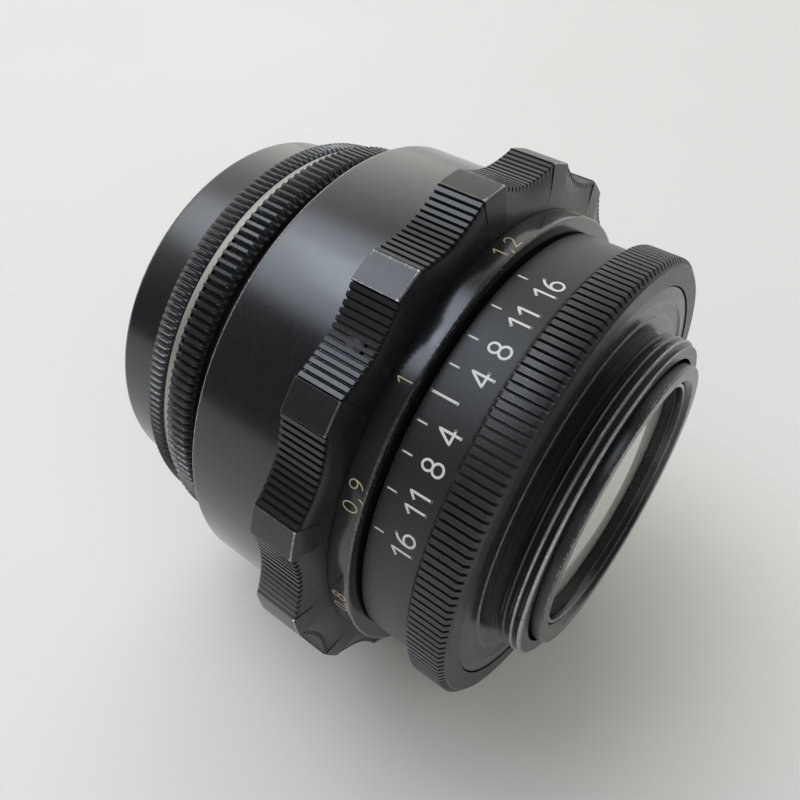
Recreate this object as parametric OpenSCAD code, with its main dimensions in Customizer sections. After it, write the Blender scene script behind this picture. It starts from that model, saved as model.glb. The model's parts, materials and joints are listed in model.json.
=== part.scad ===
// Prime camera lens: screw mount, double helicoid, preset iris.
// The optical axis lies along +Y with the front glass at +Y, and the origin is the
// centre of the rear seating face. Every ring is drawn upright along its own Z, then laid down.

/* [Mount] */
// Outer radius of the screw mount thread (M42)
thread_r = 21; // [20:0.1:24]
// Length of the screw mount thread behind the seating face
thread_len = 4.2; // [3.4:0.1:5.2]
// Outer radius of the seating flange
flange_r = 26; // [25.5:0.1:28]
// Thickness of the seating flange
flange_t = 2; // [1.5:0.1:3]
// Outer radius of the knurled mount ring
mount_ring_r = 29.2; // [28.5:0.1:33]
// Length of the knurled mount ring
mount_ring_len = 5.4; // [4:0.1:8]
// Outer radius of the smooth fixed ring
fixed_ring_r = 27.8; // [27:0.1:29]
// Length of the smooth fixed ring
fixed_ring_len = 6.6; // [5:0.1:9]

/* [Focusing] */
// Radius over the raised lands of the focusing ring
grip_r = 34.6; // [32:0.1:42]
// Length of the raised lands of the focusing ring
grip_len = 6.7; // [5:0.1:9]
// Number of lands round the focusing ring
grip_lands = 15; // [10:1:18]
// Depth of the hollow between two lands
scallop_depth = 1.5; // [0.5:0.1:2.2]
// Share of the ring's edge that the hollows take
hollow_share = 0.74; // [0.5:0.02:0.8]
// Outer radius of the distance scale
scale_r = 29.6; // [29.3:0.1:31]
// Length of the distance scale
scale_len = 2.9; // [2:0.1:5]
// Travel of the lens head from infinity to the closest focus
focus_travel = 7.05; // [4:0.05:7.5]

/* [Barrel] */
// Outer radius of the smooth barrel sleeve
sleeve_r = 30.8; // [29:0.1:37]
// Length of the smooth barrel sleeve
sleeve_len = 12.85; // [11:0.05:16]
// Outer radius of the head tube that carries the control rings
head_r = 26; // [25:0.1:27]
// Outer radius of the aperture ring's knurl
aperture_ring_r = 28.6; // [27.8:0.1:31]
// Outer radius of the preset ring's knurl
preset_ring_r = 27.8; // [27:0.1:30]
// Length of the preset ring
preset_len = 2.9; // [2:0.1:5]
// Outer radius of the front bezel
bezel_r = 25.6; // [25.1:0.1:27]
// Length of the front bezel
bezel_len = 6.65; // [5:0.05:10]
// Length of the aperture ring
control_len = 8.3; // [7.5:0.1:10]
// Radius of the crests of the filter thread (M49 x 0.75)
filter_r = 24.1; // [23.5:0.05:24.6]

/* [Optics] */
// Radius of the front glass
front_glass_r = 19; // [17:0.1:20]
// Radius of the front cemented pair
front_pair_r = 16.5; // [15:0.1:17.5]
// Radius of the rear cemented pair
rear_pair_r = 14.5; // [13:0.1:15]
// Radius of the rear glass
rear_glass_r = 16.3; // [14:0.1:16.8]
// Wall of the rear barrel at its glass
rear_wall = 2.2; // [1.5:0.1:2.4]
// Radius of the iris when it is fully open
iris_open_r = 12.8; // [11:0.1:13.5]
// Number of iris blades
blade_count = 8; // [5:1:8]
// Thickness of an iris blade
blade_t = 0.15; // [0.1:0.01:0.2]

/* [Fits] */
// Radial clearance of a turning or sliding fit
run_gap = 0.05; // [0.03:0.01:0.08]
// Clearance between two fixed pieces
seat_gap = 0.04; // [0.02:0.01:0.08]
// Gap along the axis between two rings that move apart
face_gap = 0.35; // [0.2:0.05:0.5]

/* [Hidden] */
$fn = 96;

// Places along the axis, from the seating face forward
mount_ring_y1 = mount_ring_len;
fixed_y0 = mount_ring_y1 + seat_gap;
fixed_y1 = fixed_y0 + fixed_ring_len;
scale_y0 = fixed_y1 + face_gap;
scale_y1 = scale_y0 + scale_len;
grip_y1 = scale_y1 + grip_len;
sleeve_y0 = grip_y1 + face_gap;
sleeve_y1 = sleeve_y0 + sleeve_len;
control_y0 = sleeve_y1 + face_gap;
control_y1 = control_y0 + control_len;
preset_y0 = control_y1 + face_gap;
preset_y1 = preset_y0 + preset_len;
bezel_y0 = preset_y1 + face_gap;
bezel_y1 = bezel_y0 + bezel_len;

// Radii of the nested tubes, from the outside in
base_out = flange_r - 0.7;
base_in = base_out - 1.25;
nut_out = base_in - run_gap;
nut_in = nut_out - 1.95;
inner_out = nut_in - run_gap;
inner_in = inner_out - 1.45;
skirt_in = base_out + 0.1;
skirt_out = scale_r - 0.7;

// The guide keys and the nested tubes' ends
helicoid_y0 = 5;
base_y1 = grip_y1 - 3;
nut_web_y0 = base_y1 + 0.5;
nut_y1 = grip_y1 - 0.2;
key_y1 = helicoid_y0 + focus_travel + 3;
key_w = 3;
key_slot_y1 = key_y1 + 4;

// The carrier joins the inner helicoid, the sleeve and the head tube
carrier_y0 = sleeve_y0 + 4.15;
carrier_t = 2.7;
carrier_y1 = carrier_y0 + carrier_t;
inner_y1 = carrier_y1;
head_y0 = carrier_y1 + seat_gap;
head_y1 = bezel_y0 - 0.15;
head_in = head_r - 3.5;
head_step_y = head_y1 - 3.8;
head_step_r = head_r - 1.95;
sleeve_in = sleeve_r - 1.8;
sleeve_lip_t = 1.2;

// Rear barrel, which carries the rear glasses
rear_y0 = -5.5;
rear_out = rear_glass_r + seat_gap + rear_wall;
rear_seat_y = 7;
rear_pair_y0 = rear_seat_y + 1.5 + 0.25;
rear_pair_y1 = rear_seat_y + 5;
rear_pair_y2 = rear_seat_y + 12;
rear_pair_bulge = 3;
rear_web_y0 = 19.3;
iris_y0 = carrier_y0 - 3.35;
rear_web_y1 = iris_y0 - seat_gap;

// Iris stack
iris_wall = 0.5;
iris_floor = 0.8;
iris_out = inner_in - seat_gap;
blade_y0 = iris_y0 + iris_floor + 0.15;
blade_pitch = blade_t + 0.15;
blade_pivot_r = iris_out - iris_wall - 1.0;
blade_ear_r = 0.85;
blade_pin_r = 0.4;
blade_out = blade_pivot_r - blade_pin_r - 0.5;
blade_in = iris_open_r + 0.1;
blade_span = 112;
cam_y0 = blade_y0 + blade_count * blade_pitch + 0.2;
cam_t = 0.9;
cam_slot_w = 0.9;
step_in = iris_out - iris_wall - 1.8;
drive_step_y = head_y0 + 0.35;
drive_step_t = 0.8;
drive_out = head_in - 0.9;
drive_in = drive_out - 0.8;

// Front cell
cell_y0 = drive_step_y + drive_step_t + 0.3;
cell_out = drive_in - 0.2;
cell_flange_y = head_y1 - 7.2;
cell_flange_r = head_in - seat_gap;
cell_y1 = head_y1 - 0.6;
front_seat_y = cell_y1 - 6.1;
drive_y1 = cell_flange_y - 0.5;
front_pair_y0 = cell_y0 + 1 + seat_gap;
front_pair_y1 = cell_y0 + 6;
front_pair_bulge = 0.8;

// Pin that drives the iris and the slot that it moves in
pin_y = control_y0 + 1;
pin_r = 0.7;
pin_slot_angle = 84;
pin_angle = 200;

thread_bore_r = thread_r - 2;
screw_r = 0.9;
chamfer = 0.35;

// Pitch of the lands; one land is straight up, and a screw lies in the second hollow beside it
land_pitch = 360 / grip_lands;
grip_screw_angle = -90 - 1.5 * land_pitch;

// Lays an upright ring down with its front to +Y
module lay() {
  rotate([-90, 0, 0]) children();
}

// A plain tube between two places along the axis
module tube(out, inner, y0, y1) {
  difference() {
    translate([0, 0, y0]) cylinder(r = out, h = y1 - y0);
    translate([0, 0, y0 - 1]) cylinder(r = inner, h = y1 - y0 + 2);
  }
}

// A ring with both outer edges chamfered
module chamfered_ring(out, inner, y0, y1, c) {
  rotate_extrude()
    polygon([[inner, y0], [out - c, y0], [out, y0 + c], [out, y1 - c], [out - c, y1], [inner, y1]]);
}

// A row of short radial screws, with their outer ends at a radius
module radial_screws(count, y, r_end, length, r, phase) {
  for (i = [0:count - 1])
    rotate([0, 0, phase + i * 360 / count])
      translate([r_end - length, 0, y]) rotate([0, 90, 0]) cylinder(r = r, h = length);
}

module screw_holes(count, y, r_end, length, phase) {
  radial_screws(count, y, r_end + 1, length + 1, screw_r + seat_gap, phase);
}

// Height of a spherical cap over its rim, at a distance from the axis; negative where hollow
function sag(x, rim, bulge) =
  let(s = (rim * rim + bulge * bulge) / (2 * abs(bulge)))
  sign(bulge) * (sqrt(s * s - x * x) - sqrt(s * s - rim * rim));

// Glass from the edge of its rear face to the edge of its front face; a bulge is a face's height
module glass(r, y0, y1, rear_bulge, front_bulge) {
  steps = 16;
  rotate_extrude()
    polygon(concat(
      [for (i = [0:steps]) [r * i / steps, y0 - sag(r * i / steps, r, rear_bulge)]],
      [for (i = [steps:-1:0]) [r * i / steps, y1 + sag(r * i / steps, r, front_bulge)]]
    ));
}

// ---- fixed pieces ----

module mount_thread_ring() {
  color("dimgray") lay() {
    tube(thread_r, thread_bore_r, -thread_len, 0.5);
    tube(flange_r, thread_bore_r, 0, flange_t);
  }
}

module mount_grip_ring() {
  color("black") lay() difference() {
    chamfered_ring(mount_ring_r, base_out + seat_gap, 0, mount_ring_y1, chamfer);
    translate([0, 0, -1]) cylinder(r = flange_r + seat_gap, h = flange_t + seat_gap + 1);
    screw_holes(3, mount_ring_y1 * 0.6, mount_ring_r, mount_ring_r - base_in + 0.5, 20);
  }
}

module fixed_scale_ring() {
  color("black") lay()
    chamfered_ring(fixed_ring_r, base_out + seat_gap, fixed_y0, fixed_y1, chamfer / 2);
}

module base_helicoid() {
  color("goldenrod") lay() difference() {
    tube(base_out, base_in, flange_t + seat_gap, base_y1);
    screw_holes(3, mount_ring_y1 * 0.6, mount_ring_r, mount_ring_r - base_in + 0.5, 20);
  }
}

module mount_set_screws() {
  color("silver") lay()
    radial_screws(3, mount_ring_y1 * 0.6, mount_ring_r - 0.5, mount_ring_r - 0.5 - base_in - 0.3,
                  screw_r, 20);
}

// Two keys that stop the lens head from turning
module focus_guide_keys() {
  color("goldenrod") lay() for (a = [0, 180])
    rotate([0, 0, a]) intersection() {
      translate([0, -key_w / 2, flange_t + seat_gap])
        cube([inner_out, key_w, key_y1 - flange_t - seat_gap]);
      tube(inner_out - 0.1, thread_bore_r + 0.1, 0, key_y1);
    }
}

// ---- lens head ----

module inner_helicoid() {
  color("darkgray") lay() difference() {
    tube(inner_out, inner_in, helicoid_y0, inner_y1);
    for (a = [0, 180])
      rotate([0, 0, a]) translate([0, -key_w / 2 - run_gap, helicoid_y0 - 1])
        cube([inner_out + 1, key_w + 2 * run_gap, key_slot_y1 - helicoid_y0 + 1]);
  }
}

module rear_barrel() {
  color("black") lay() difference() {
    union() {
      translate([0, 0, rear_y0]) cylinder(r = rear_out, h = rear_web_y1 - rear_y0);
      translate([0, 0, rear_web_y0]) cylinder(r = inner_in - seat_gap, h = rear_web_y1 - rear_web_y0);
    }
    translate([0, 0, rear_y0 - 1]) cylinder(r = rear_glass_r + seat_gap, h = rear_seat_y - rear_y0 + 1);
    translate([0, 0, rear_seat_y - 1]) cylinder(r = rear_pair_r - 1, h = 30);
    translate([0, 0, rear_seat_y + 1.5]) cylinder(r = rear_pair_r + seat_gap, h = 30);
  }
}

module rear_retaining_ring() {
  color("black") lay() tube(rear_glass_r, rear_glass_r - 0.9, rear_y0 + 0.5, rear_y0 + 1.6);
}

module rear_glass() {
  color("lightblue") lay()
    glass(rear_glass_r, rear_y0 + 3, rear_seat_y - seat_gap - 4.5, 1.3, 2.2);
}

module rear_doublet_outer() {
  color("lightblue") lay()
    glass(rear_pair_r, rear_pair_y0, rear_pair_y1, 1.2, rear_pair_bulge);
}

module rear_doublet_inner() {
  color("lightcyan") lay()
    glass(rear_pair_r, rear_pair_y1 + seat_gap, rear_pair_y2, -rear_pair_bulge, -3.2);
}

module rear_doublet_retainer() {
  color("black") lay()
    tube(rear_pair_r, rear_pair_r - 1.2, rear_pair_y2 + seat_gap, rear_pair_y2 + 1.4);
}

module iris_base() {
  color("dimgray") lay() difference() {
    union() {
      tube(iris_out, iris_out - iris_wall, iris_y0, cam_y0 + cam_t);
      tube(iris_out, iris_open_r, iris_y0, iris_y0 + iris_floor);
    }
    for (i = [0:blade_count - 1])
      rotate([0, 0, i * 360 / blade_count])
        translate([blade_pivot_r, 0, iris_y0 - 1]) cylinder(r = blade_pin_r + run_gap, h = 3);
  }
}

// Thin ring that keeps the cam ring from rattling
module iris_retainer() {
  color("dimgray") lay()
    tube(iris_out, iris_out - iris_wall - 0.2, cam_y0 + cam_t + seat_gap, cam_y0 + cam_t + 0.5);
}

module front_cell() {
  color("black") lay() difference() {
    union() {
      translate([0, 0, cell_y0]) cylinder(r = cell_out, h = cell_y1 - cell_y0);
      translate([0, 0, cell_flange_y]) cylinder(r = cell_flange_r, h = cell_y1 - cell_flange_y);
    }
    translate([0, 0, cell_y0 - 1]) cylinder(r = front_pair_r - 1, h = 40);
    translate([0, 0, cell_y0 + 1]) cylinder(r = front_pair_r + seat_gap, h = 40);
    translate([0, 0, front_seat_y]) cylinder(r = front_glass_r + seat_gap, h = 20);
  }
}

module front_doublet_inner() {
  color("lightcyan") lay()
    glass(front_pair_r, front_pair_y0, front_pair_y1, -3, -front_pair_bulge);
}

module front_doublet_outer() {
  color("lightblue") lay()
    glass(front_pair_r, front_pair_y1 + seat_gap, front_pair_y1 + 1.2, front_pair_bulge, 1.8);
}

module front_glass() {
  color("lightblue") lay()
    glass(front_glass_r, front_seat_y + seat_gap, cell_y1 - 3.4, -0.6, 2.8);
}

// Blank ring round the front glass
module front_retaining_ring() {
  body_r = head_step_r - 1.1 - seat_gap;
  rim_r = filter_r - 0.2;
  color("black") lay() rotate_extrude()
    polygon([
      [front_glass_r - 0.6, cell_y1 - 2.6], [front_glass_r, cell_y1 - 2.6],
      [front_glass_r, cell_y1 + seat_gap], [body_r, cell_y1 + seat_gap],
      [body_r, bezel_y0 - 0.3], [rim_r, bezel_y0 + 1.7],
      [rim_r, bezel_y0 + 2], [front_glass_r - 0.6, cell_y1 + 1.1]
    ]);
}

module barrel_carrier() {
  color("darkgray") lay() tube(sleeve_in - seat_gap, inner_out + seat_gap, carrier_y0, carrier_y1);
}

module barrel_sleeve() {
  color("black") lay() difference() {
    chamfered_ring(sleeve_r, head_r + seat_gap, sleeve_y0, sleeve_y1, chamfer / 2);
    translate([0, 0, sleeve_y0 - 1]) cylinder(r = sleeve_in, h = sleeve_len - sleeve_lip_t + 1);
    screw_holes(3, carrier_y0 + carrier_t / 2, sleeve_r, sleeve_r - sleeve_in + 1, 90);
  }
}

module sleeve_screws() {
  color("silver") lay()
    radial_screws(3, carrier_y0 + carrier_t / 2, sleeve_r - 0.4, sleeve_r - 0.4 - sleeve_in, screw_r, 90);
}

// Carries the control rings; the long slot lets the iris pin through
module head_tube() {
  color("dimgray") lay() difference() {
    tube(head_r, head_in, head_y0, head_y1);
    translate([0, 0, head_step_y]) cylinder(r = head_step_r, h = 10);
    rotate([0, 0, pin_angle - 7])
      rotate_extrude(angle = pin_slot_angle)
        translate([head_in - 1, pin_y - pin_r - 0.3]) square([5, 2 * pin_r + 0.6]);
  }
}

module front_bezel() {
  color("black") lay() rotate_extrude()
    polygon([
      [head_step_r - 1.1, head_step_y + 0.2], [head_step_r - seat_gap, head_step_y + 0.2],
      [head_step_r - seat_gap, bezel_y0], [head_r + 0.5, bezel_y0], [head_r + 0.5, bezel_y0 + 0.7],
      [bezel_r, bezel_y0 + 1.2], [bezel_r, bezel_y1 - 0.4], [bezel_r - 0.4, bezel_y1],
      [filter_r + 0.3, bezel_y1], [filter_r, bezel_y1 - 0.3], [filter_r, bezel_y0 + 1.9],
      [head_step_r - 1.1, bezel_y0 - 0.5]
    ]);
}

// ---- focusing ring ----

module helicoid_nut() {
  color("goldenrod") lay() {
    tube(nut_out, nut_in, helicoid_y0, nut_y1);
    tube(skirt_out - seat_gap, nut_in, nut_web_y0, nut_y1);
  }
}

module distance_scale_ring() {
  color("black") lay() {
    chamfered_ring(scale_r, skirt_in, scale_y0, scale_y1, chamfer / 2);
    tube(skirt_out, skirt_in, scale_y0 + 1, nut_web_y0 - seat_gap);
  }
}

// Raised lands with round hollows between them
module focus_grip_ring() {
  hollow_r = grip_r * sin(hollow_share * land_pitch / 2);
  hollow_s = (hollow_r * hollow_r + scallop_depth * scallop_depth) / (2 * scallop_depth);
  color("black") lay() difference() {
    chamfered_ring(grip_r, skirt_out + seat_gap, scale_y1 + seat_gap, grip_y1, chamfer);
    for (i = [0:grip_lands - 1])
      rotate([0, 0, (i + 0.5) * land_pitch - 90])
        translate([grip_r - scallop_depth + hollow_s, 0, scale_y1 - 1])
          cylinder(r = hollow_s, h = grip_len + 2);
    screw_holes(3, scale_y1 + grip_len / 2, grip_r, grip_r - skirt_out, grip_screw_angle);
  }
}

module focus_set_screws() {
  color("silver") lay()
    radial_screws(3, scale_y1 + grip_len / 2, grip_r - scallop_depth - 0.4,
                  grip_r - scallop_depth - 0.4 - skirt_out - seat_gap, screw_r, grip_screw_angle);
}

// ---- control rings and iris ----

module aperture_ring() {
  base_r = aperture_ring_r - 1.6;
  color("black") lay() difference() {
    rotate_extrude()
      polygon([
        [head_r + run_gap, control_y0], [base_r, control_y0], [base_r, control_y0 + 1.8],
        [aperture_ring_r - 0.5, control_y0 + 1.9], [aperture_ring_r, control_y0 + 2.4],
        [aperture_ring_r, control_y0 + 4.9], [aperture_ring_r - 0.5, control_y0 + 5.4],
        [base_r, control_y0 + 5.5], [base_r + 0.3, control_y1 - 1], [base_r - 0.2, control_y1],
        [head_r + run_gap, control_y1]
      ]);
    rotate([0, 0, pin_angle])
      translate([head_r - 1, 0, pin_y]) rotate([0, 90, 0]) cylinder(r = pin_r + seat_gap, h = 10);
  }
}

module aperture_drive_pin() {
  color("silver") lay() rotate([0, 0, pin_angle])
    translate([drive_out + seat_gap, 0, pin_y]) rotate([0, 90, 0])
      cylinder(r = pin_r, h = aperture_ring_r - 1.6 - 0.2 - drive_out - seat_gap);
}

module iris_drive_tube() {
  color("darkgray") lay() {
    tube(iris_out - iris_wall - 0.4, step_in, cam_y0 + cam_t + seat_gap, drive_step_y + drive_step_t);
    tube(drive_out, step_in, drive_step_y, drive_step_y + drive_step_t);
    tube(drive_out, drive_in, drive_step_y, drive_y1);
  }
}

module iris_cam_ring() {
  color("darkgray") lay() difference() {
    tube(iris_out - iris_wall - run_gap, iris_open_r, cam_y0, cam_y0 + cam_t);
    for (i = [0:blade_count - 1])
      rotate([0, 0, (i + 0.5) * 360 / blade_count])
        translate([iris_open_r + 1, -cam_slot_w / 2, cam_y0 - 1]) cube([2.6, cam_slot_w, cam_t + 2]);
  }
}

module preset_ring() {
  color("black") lay() difference() {
    chamfered_ring(preset_ring_r, head_r + run_gap, preset_y0, preset_y1, 0.5);
    screw_holes(3, (preset_y0 + preset_y1) / 2, preset_ring_r, preset_ring_r - head_r, 45);
  }
}

module preset_set_screws() {
  color("silver") lay()
    radial_screws(3, (preset_y0 + preset_y1) / 2, preset_ring_r - 0.3,
                  preset_ring_r - 0.3 - head_r - 2 * run_gap, screw_r * 0.8, 45);
}

// One blade: a thin crescent on a pivot pin, each on its own level
module iris_blade(n) {
  level = blade_y0 + (n - 1) * blade_pitch;
  color("gray") lay() rotate([0, 0, (n - 1) * 360 / blade_count]) {
    translate([0, 0, level]) linear_extrude(height = blade_t) {
      difference() {
        intersection() {
          circle(r = blade_out);
          polygon(concat([[0, 0]],
            [for (a = [0:blade_span / 8:blade_span]) 3 * blade_out * [cos(a), sin(a)]]));
        }
        circle(r = blade_in);
      }
      translate([blade_pivot_r, 0]) circle(r = blade_ear_r);
      translate([blade_out - 1, 0]) square([blade_pivot_r - blade_out + 1, blade_ear_r]);
    }
    translate([blade_pivot_r, 0, iris_y0 + 0.1])
      cylinder(r = blade_pin_r, h = level + blade_t - iris_y0 - 0.1);
  }
}

mount_thread_ring();
mount_grip_ring();
fixed_scale_ring();
base_helicoid();
mount_set_screws();
focus_guide_keys();
inner_helicoid();
rear_barrel();
rear_retaining_ring();
rear_glass();
rear_doublet_outer();
rear_doublet_inner();
rear_doublet_retainer();
iris_base();
iris_retainer();
front_doublet_inner();
front_doublet_outer();
front_cell();
front_glass();
front_retaining_ring();
barrel_carrier();
barrel_sleeve();
sleeve_screws();
head_tube();
front_bezel();
helicoid_nut();
distance_scale_ring();
focus_grip_ring();
focus_set_screws();
aperture_ring();
aperture_drive_pin();
iris_drive_tube();
iris_cam_ring();
preset_ring();
preset_set_screws();
iris_blade(1);  // iris_blade_1
iris_blade(2);  // iris_blade_2
iris_blade(3);  // iris_blade_3
iris_blade(4);  // iris_blade_4
iris_blade(5);  // iris_blade_5
iris_blade(6);  // iris_blade_6
iris_blade(7);  // iris_blade_7
iris_blade(8);  // iris_blade_8
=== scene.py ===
"""Looks of a manual prime camera lens lying on a pale table.

The rings lie round the Y axis, front to +Y. Lengths are in millimetres up to the mesh
builders, which turn them into metres. Angles run from +X towards +Z.
"""
import json
import math

import bmesh
import bpy
from mathutils import Matrix, Vector


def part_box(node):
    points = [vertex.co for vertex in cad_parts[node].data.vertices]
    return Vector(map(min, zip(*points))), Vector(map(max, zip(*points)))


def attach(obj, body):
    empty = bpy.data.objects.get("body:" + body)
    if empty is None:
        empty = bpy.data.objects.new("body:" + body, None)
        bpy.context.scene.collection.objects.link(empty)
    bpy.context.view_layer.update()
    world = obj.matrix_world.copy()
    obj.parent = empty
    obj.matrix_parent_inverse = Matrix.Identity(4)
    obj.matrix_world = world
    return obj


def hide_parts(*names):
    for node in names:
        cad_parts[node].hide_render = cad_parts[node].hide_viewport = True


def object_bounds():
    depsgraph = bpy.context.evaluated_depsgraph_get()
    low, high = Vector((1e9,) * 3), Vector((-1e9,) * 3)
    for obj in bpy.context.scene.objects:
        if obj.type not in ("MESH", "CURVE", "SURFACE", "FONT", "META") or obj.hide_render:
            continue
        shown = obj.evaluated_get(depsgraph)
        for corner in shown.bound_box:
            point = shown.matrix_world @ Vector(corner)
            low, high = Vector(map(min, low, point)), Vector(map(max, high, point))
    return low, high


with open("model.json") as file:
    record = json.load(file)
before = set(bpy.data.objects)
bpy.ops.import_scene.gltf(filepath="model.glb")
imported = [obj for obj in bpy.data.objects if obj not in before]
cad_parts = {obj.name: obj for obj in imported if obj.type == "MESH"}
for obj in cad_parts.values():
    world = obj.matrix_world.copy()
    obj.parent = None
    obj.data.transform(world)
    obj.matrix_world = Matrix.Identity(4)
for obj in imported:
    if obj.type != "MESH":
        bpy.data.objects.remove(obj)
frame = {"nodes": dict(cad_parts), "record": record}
cad_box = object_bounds()

MM = 0.001
TAU = 2 * math.pi
LANDS = 15
LAND_SHARE = 0.26  # part of each pitch that the land takes


# ---------------------------------------------------------------- sizes from the frame

def ring(node):
    """First place, last place and outer radius of a ring, in millimetres."""
    low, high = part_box(node)
    return low[1] / MM, high[1] / MM, high[0] / MM


GRIP_Y0, GRIP_Y1, GRIP_R = ring("focus_grip_ring")
SCALE_Y0, _, SCALE_R = ring("distance_scale_ring")
MOUNT_Y0, MOUNT_Y1, MOUNT_R = ring("mount_grip_ring")
FIXED_Y0, FIXED_Y1, FIXED_R = ring("fixed_scale_ring")
THREAD_Y0, FLANGE_Y1, FLANGE_R = ring("mount_thread_ring")
SLEEVE_Y0, SLEEVE_Y1, SLEEVE_R = ring("barrel_sleeve")
CONTROL_Y0, CONTROL_Y1, CONTROL_R = ring("aperture_ring")
PRESET_Y0, PRESET_Y1, PRESET_R = ring("preset_ring")
BEZEL_Y0, BEZEL_Y1, BEZEL_WIDE_R = ring("front_bezel")
REAR_Y0, REAR_Y1, _ = ring("rear_barrel")
HEAD_R = ring("head_tube")[2]
GLASS_R = ring("rear_glass")[2]
FRONT_R = ring("front_glass")[2]
NAME_Y0, NAME_Y1, NAME_R = ring("front_retaining_ring")
THREAD_R = 21.0  # the M42 thread is 42 mm across
THREAD_BORE = THREAD_R - 2
SKIRT_IN = FLANGE_R - 0.6
REAR_R = GLASS_R + 2.24
BEZEL_R = BEZEL_WIDE_R - 0.9


# ---------------------------------------------------------------- materials

class Nodes:
    """Small helper that builds a material's node tree."""

    def __init__(self, name):
        self.mat = bpy.data.materials.new(name)
        self.mat.use_nodes = True
        self.tree = self.mat.node_tree
        self.bsdf = self.tree.nodes["Principled BSDF"]

    def add(self, kind, **props):
        node = self.tree.nodes.new(kind)
        for key, value in props.items():
            setattr(node, key, value)
        return node

    def link(self, a, b):
        self.tree.links.new(a, b)

    def math(self, operation, a, b=None, clamp=False):
        node = self.add("ShaderNodeMath", operation=operation, use_clamp=clamp)
        for socket, value in zip(node.inputs, (a, b)):
            if value is None:
                continue
            if isinstance(value, (int, float)):
                socket.default_value = value
            else:
                self.link(value, socket)
        return node.outputs[0]

    def noise(self, scale, detail=3.0, vector=None, roughness=0.55):
        node = self.add("ShaderNodeTexNoise")
        node.inputs["Scale"].default_value = scale
        node.inputs["Detail"].default_value = detail
        node.inputs["Roughness"].default_value = roughness
        if vector is not None:
            self.link(vector, node.inputs["Vector"])
        return node.outputs["Fac"]

    def place(self):
        return self.add("ShaderNodeTexCoord").outputs["Object"]

    def turned(self, along=9000.0, across=2.0):
        """Coordinates that stretch a noise into turning marks round the Y axis."""
        split = self.add("ShaderNodeSeparateXYZ")
        self.link(self.place(), split.inputs[0])
        x, y, z = split.outputs
        angle = self.math("ARCTAN2", z, x)
        radius = self.math("SQRT", self.math("ADD", self.math("MULTIPLY", x, x),
                                             self.math("MULTIPLY", z, z)))
        join = self.add("ShaderNodeCombineXYZ")
        self.link(self.math("MULTIPLY", y, along), join.inputs[0])
        self.link(self.math("MULTIPLY", self.math("ABSOLUTE", angle), across), join.inputs[1])
        self.link(self.math("MULTIPLY", radius, along), join.inputs[2])
        return join.outputs[0]

    def ramp(self, value, stops):
        node = self.add("ShaderNodeValToRGB")
        while len(node.color_ramp.elements) < len(stops):
            node.color_ramp.elements.new(0.5)
        for element, (place, level) in zip(node.color_ramp.elements, stops):
            element.position = place
            element.color = (level, level, level, 1) if isinstance(level, float) else (*level, 1)
        self.link(value, node.inputs[0])
        return node.outputs[0]

    def mix(self, factor, a, b):
        node = self.add("ShaderNodeMix", data_type="RGBA")
        for socket, value in ((node.inputs[0], factor), (node.inputs[6], a), (node.inputs[7], b)):
            if isinstance(value, tuple):
                socket.default_value = (*value, 1)
            else:
                self.link(value, socket)
        return node.outputs[2]

    def bump(self, height, strength, distance):
        node = self.add("ShaderNodeBump")
        node.inputs["Strength"].default_value = strength
        node.inputs["Distance"].default_value = distance
        self.link(height, node.inputs["Height"])
        self.link(node.outputs[0], self.bsdf.inputs["Normal"])


def black_metal(name, base, rough, marks=0.0, wear=0.0, dust=0.3, grain=0.0, coat=0.0):
    """Black anodised alloy: turning marks, worn edges down to bare metal, and dust."""
    n = Nodes(name)
    blotch = n.noise(90, 4)
    tone = n.mix(n.ramp(blotch, [(0.3, 0.0), (0.75, 1.0)]), base, tuple(c * 1.7 + 0.003 for c in base))
    edge = n.add("ShaderNodeAttribute", attribute_name="edge").outputs["Fac"]
    chips = n.math("ADD", n.noise(1300, 5), n.math("MULTIPLY", n.noise(210, 2), 0.9))
    chip_mask = n.math("ADD", n.math("MULTIPLY", edge, 0.42), n.math("MULTIPLY", chips, 0.4))
    worn = n.ramp(chip_mask, [(0.84 - 0.06 * wear, 0.0), (0.87 - 0.06 * wear, 1.0)])
    worn = n.math("MULTIPLY", worn, n.ramp(edge, [(0.3, 0.0), (0.5, 1.0)]), clamp=True)
    specks = n.ramp(n.noise(2600, 1), [(0.735 - 0.03 * dust, 0.0), (0.765 - 0.03 * dust, 1.0)])
    patches = n.ramp(n.noise(60, 3), [(0.42, 0.0), (0.68, 1.0)])
    dusty = n.math("MULTIPLY", specks, n.math("MULTIPLY", patches, 0.65 * dust), clamp=True)
    colour = n.mix(dusty, n.mix(worn, tone, (0.55, 0.53, 0.50)), (0.42, 0.41, 0.38))
    n.link(colour, n.bsdf.inputs["Base Color"])
    n.link(n.math("MULTIPLY", worn, 0.9), n.bsdf.inputs["Metallic"])
    smear = n.noise(45, 3)
    level = n.math("ADD", n.math("MULTIPLY", smear, 0.16), rough - 0.08)
    n.link(n.math("ADD", level, n.math("MULTIPLY", dusty, 0.4), clamp=True), n.bsdf.inputs["Roughness"])
    n.bsdf.inputs["Specular IOR Level"].default_value = 0.62
    if coat:
        n.bsdf.inputs["Coat Weight"].default_value = coat
        n.bsdf.inputs["Coat Roughness"].default_value = 0.12
    height = n.math("ADD", n.math("MULTIPLY", n.noise(1.0, 2, n.turned()), marks),
                    n.math("MULTIPLY", n.noise(3200, 2), 0.10 + grain))
    n.bump(height, 0.35, 0.00003)
    return n.mat


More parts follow.
